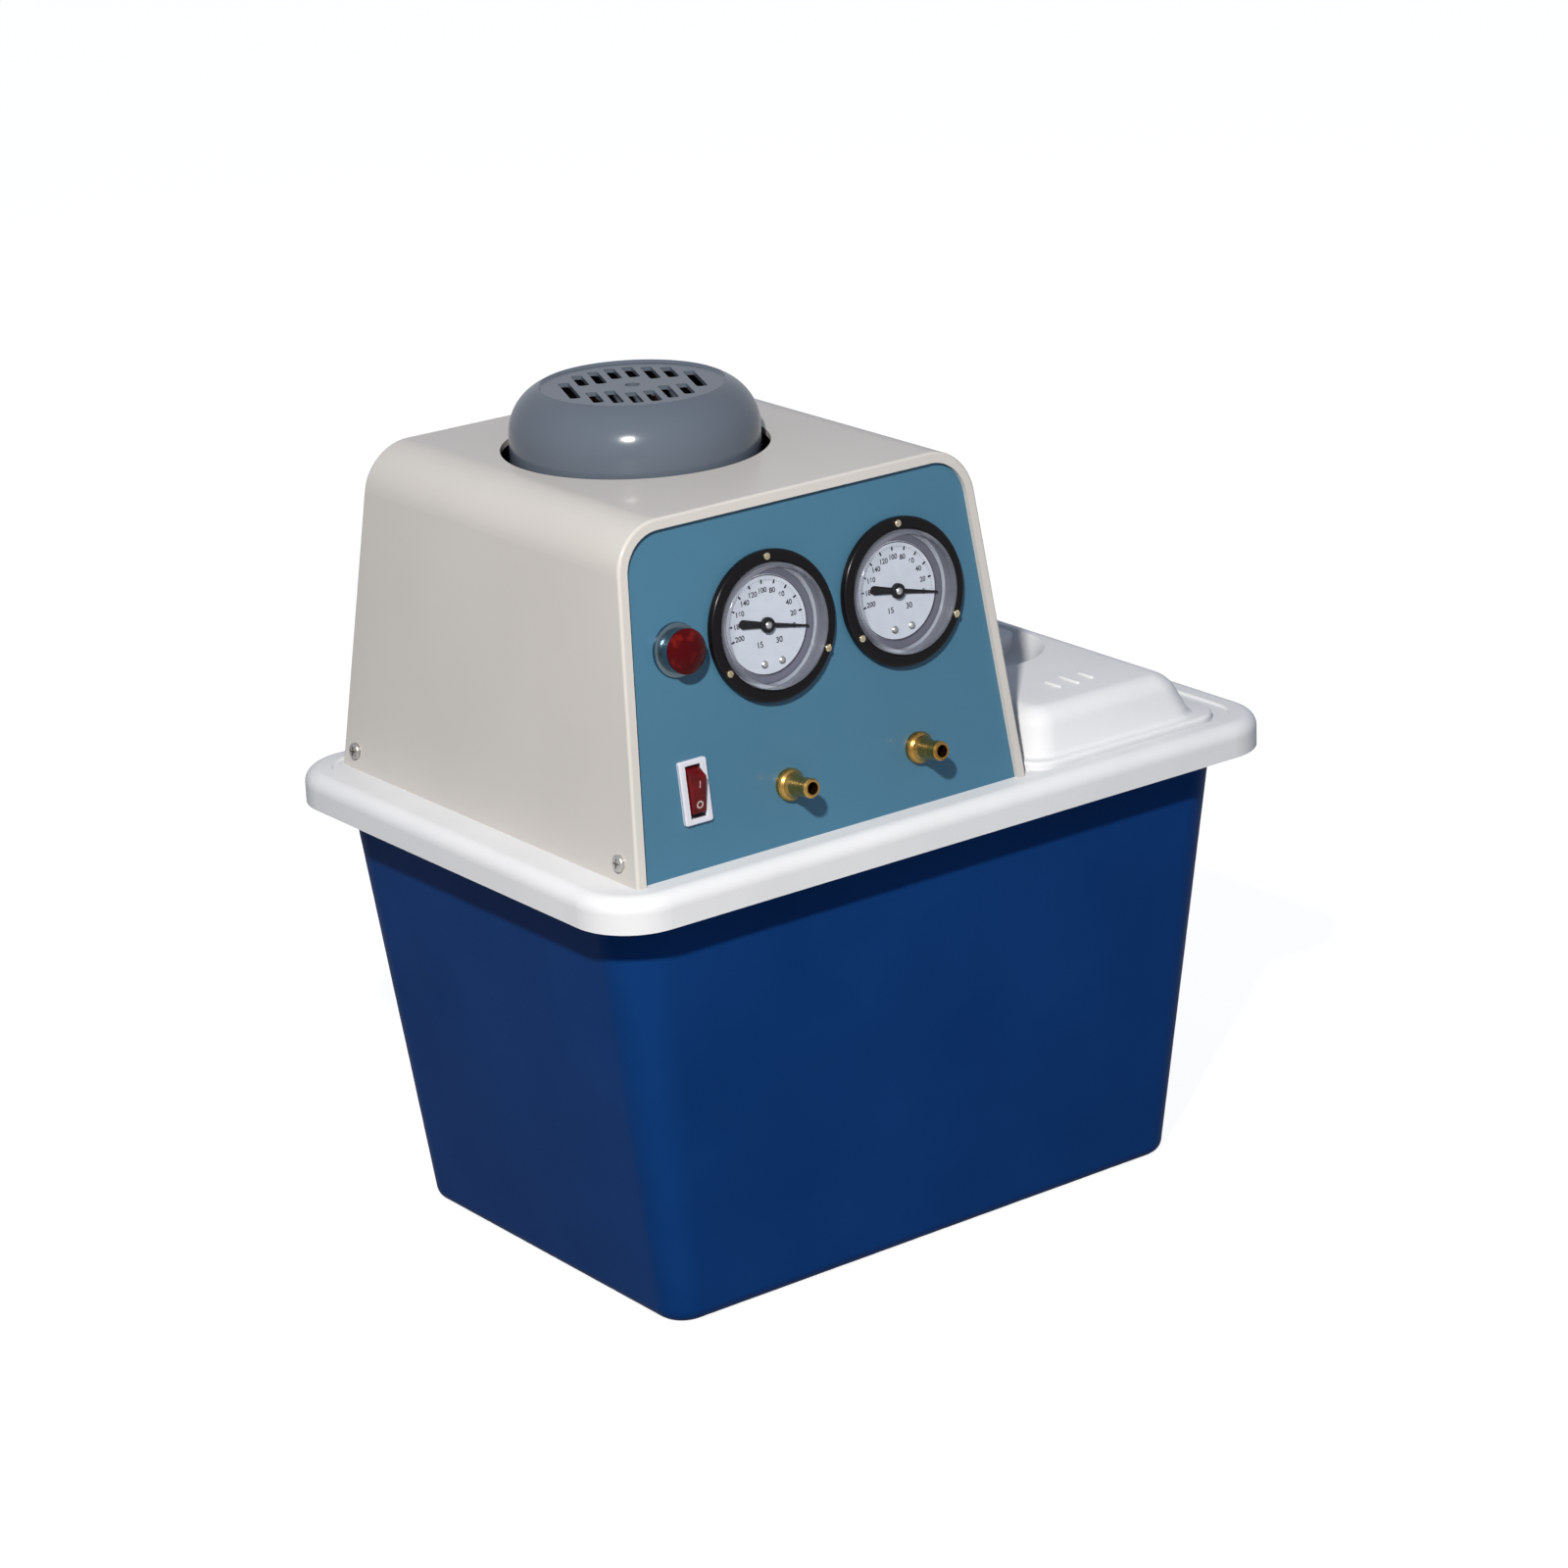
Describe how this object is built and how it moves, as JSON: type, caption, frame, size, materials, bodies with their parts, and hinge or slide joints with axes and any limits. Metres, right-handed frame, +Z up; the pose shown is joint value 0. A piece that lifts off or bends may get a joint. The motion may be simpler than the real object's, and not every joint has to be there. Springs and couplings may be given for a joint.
{
  "type": "water circulating vacuum pump",
  "caption": "Bench-top water circulating vacuum pump: motor head with gauges and suction nozzles on a tapered water tank, with a lift-off filler cover.",
  "frame": {"origin": "centre of the tank's underside, at the bottom of the box round the whole part", "axes": "+X along the tank towards the filler cover, +Y away from the instrument panel, +Z up"},
  "size_m": [0.4, 0.28, 0.4192],
  "materials": {
    "blue_tank": "glossy deep blue moulding",
    "blue_fittings": "glossy blue moulding",
    "white_moulding": "smooth white moulding",
    "cream_paint": "satin cream paint",
    "teal_paint": "satin blue-green paint",
    "grey_moulding": "glossy grey",
    "black_bezel": "glossy black",
    "black_plastic": "matt black",
    "dial_paint": "matt pale blue-grey",
    "clear_lens": "clear",
    "pointer_paint": "matt black",
    "turned_brass": "turned",
    "chrome_trim": "bright",
    "red_lens": "clear red",
    "white_switch": "white",
    "red_rocker": "dark red",
    "steel_screws": "plated",
    "brass_screws": "plated",
    "cast_aluminium": "cast",
    "core_steel": "laminated",
    "copper_winding": "enamelled copper",
    "bearing_steel": "ground",
    "stainless_shaft": "ground",
    "stainless_pump": "machined",
    "bronze_bush": "bronze",
    "red_fan": "red-brown",
    "grey_pipe": "grey pipe",
    "rubber_hose": "pale rubber"
  },
  "bodies": {
    "tank_base": {"tank": "blue_tank", "overflow_nozzle": "blue_fittings", "drain_nozzle": "blue_fittings"},
    "pump_head": {"back_panel": "teal_paint", "cable_gland": "black_plastic", "capacitor": "white_switch", "check_valve_left": "turned_brass", "check_valve_right": "turned_brass", "circulation_hose": "rubber_hose", "discharge_manifold": "grey_pipe", "ejector_left": "turned_brass", "ejector_right": "turned_brass", "fan_cover": "grey_moulding", "front_panel": "teal_paint", "fuse_holder": "black_plastic", "gauge_bezel_left": "black_bezel", "gauge_bezel_right": "black_bezel", "gauge_case_left": "black_plastic", "gauge_case_right": "black_plastic", "gauge_dial_left": "dial_paint", "gauge_dial_right": "dial_paint", "gauge_hose_left": "rubber_hose", "gauge_hose_right": "rubber_hose", "gauge_lens_left": "clear_lens", "gauge_lens_right": "clear_lens", "gauge_screws": "brass_screws", "hood": "cream_paint", "hood_screws": "steel_screws", "lamp_bezel": "chrome_trim", "lamp_lens": "red_lens", "lower_end_bell": "cast_aluminium", "motor_bearings": "bearing_steel", "motor_bolts": "steel_screws", "motor_housing": "cast_aluminium", "pump_casing": "stainless_pump", "pump_column": "stainless_pump", "pump_cover": "stainless_pump", "return_spout": "turned_brass", "shaft_bush": "bronze_bush", "stator_core": "core_steel", "stator_windings": "copper_winding", "suction_hose_left": "rubber_hose", "suction_hose_right": "rubber_hose", "suction_nozzle_left": "turned_brass", "suction_nozzle_right": "turned_brass", "switch_frame": "white_switch", "tank_lid": "white_moulding", "upper_end_bell": "cast_aluminium", "water_outlet_valve": "turned_brass"},
    "drain_cap": {"drain_cap": "black_plastic"},
    "filler_cover": {"filler_cover": "white_moulding"},
    "drive_rotor": {"motor_shaft": "stainless_shaft", "rotor_core": "core_steel", "cooling_fan": "red_fan", "impeller": "bronze_bush"},
    "left_pointer": {"gauge_pointer_left": "pointer_paint"},
    "right_pointer": {"gauge_pointer_right": "pointer_paint"},
    "switch_rocker": {"switch_rocker": "red_rocker"},
    "valve_knob": {"valve_knob": "black_plastic"},
    "fuse_cap": {"fuse_cap": "black_plastic"}
  },
  "joints": [
    {"name": "head_lift", "type": "slide", "parent": "tank_base", "child": "pump_head", "axis": [0, 0, 1], "range_m": [0, 0.21]},
    {"name": "filler_cover_lift", "type": "slide", "parent": "pump_head", "child": "filler_cover", "axis": [0, 0, 1], "range_m": [0, 0.06]},
    {"name": "drain_cap_off", "type": "slide", "parent": "tank_base", "child": "drain_cap", "axis": [0, 0.9974, -0.0719], "range_m": [0, 0.03]},
    {"name": "motor_spin", "type": "hinge", "parent": "pump_head", "child": "drive_rotor", "pos_m": [-0.071, 0.0105, 0.3], "axis": [0, 0, 1], "continuous": true},
    {"name": "left_gauge_reading", "type": "hinge", "parent": "pump_head", "child": "left_pointer", "pos_m": [-0.085, -0.10747, 0.32936], "axis": [0, -0.9911, 0.1334], "range_deg": [0, 204.8], "stiffness_Nm_per_rad": 0.002},
    {"name": "right_gauge_reading", "type": "hinge", "parent": "pump_head", "child": "right_pointer", "pos_m": [-0.0094, -0.10747, 0.32936], "axis": [0, -0.9911, 0.1334], "range_deg": [0, 204.8], "stiffness_Nm_per_rad": 0.002},
    {"name": "power_switch", "type": "hinge", "parent": "pump_head", "child": "switch_rocker", "pos_m": [-0.1375, -0.11467, 0.26464], "axis": [-1, 0, 0], "range_deg": [0, 24]},
    {"name": "outlet_valve", "type": "hinge", "parent": "pump_head", "child": "valve_knob", "pos_m": [-0.0948, 0.11085, 0.29011], "axis": [0, 0.9911, 0.1334], "range_deg": [0, 90]},
    {"name": "fuse_cap_out", "type": "slide", "parent": "pump_head", "child": "fuse_cap", "axis": [0, 0.9911, 0.1334], "range_m": [0, 0.03]}
  ]
}
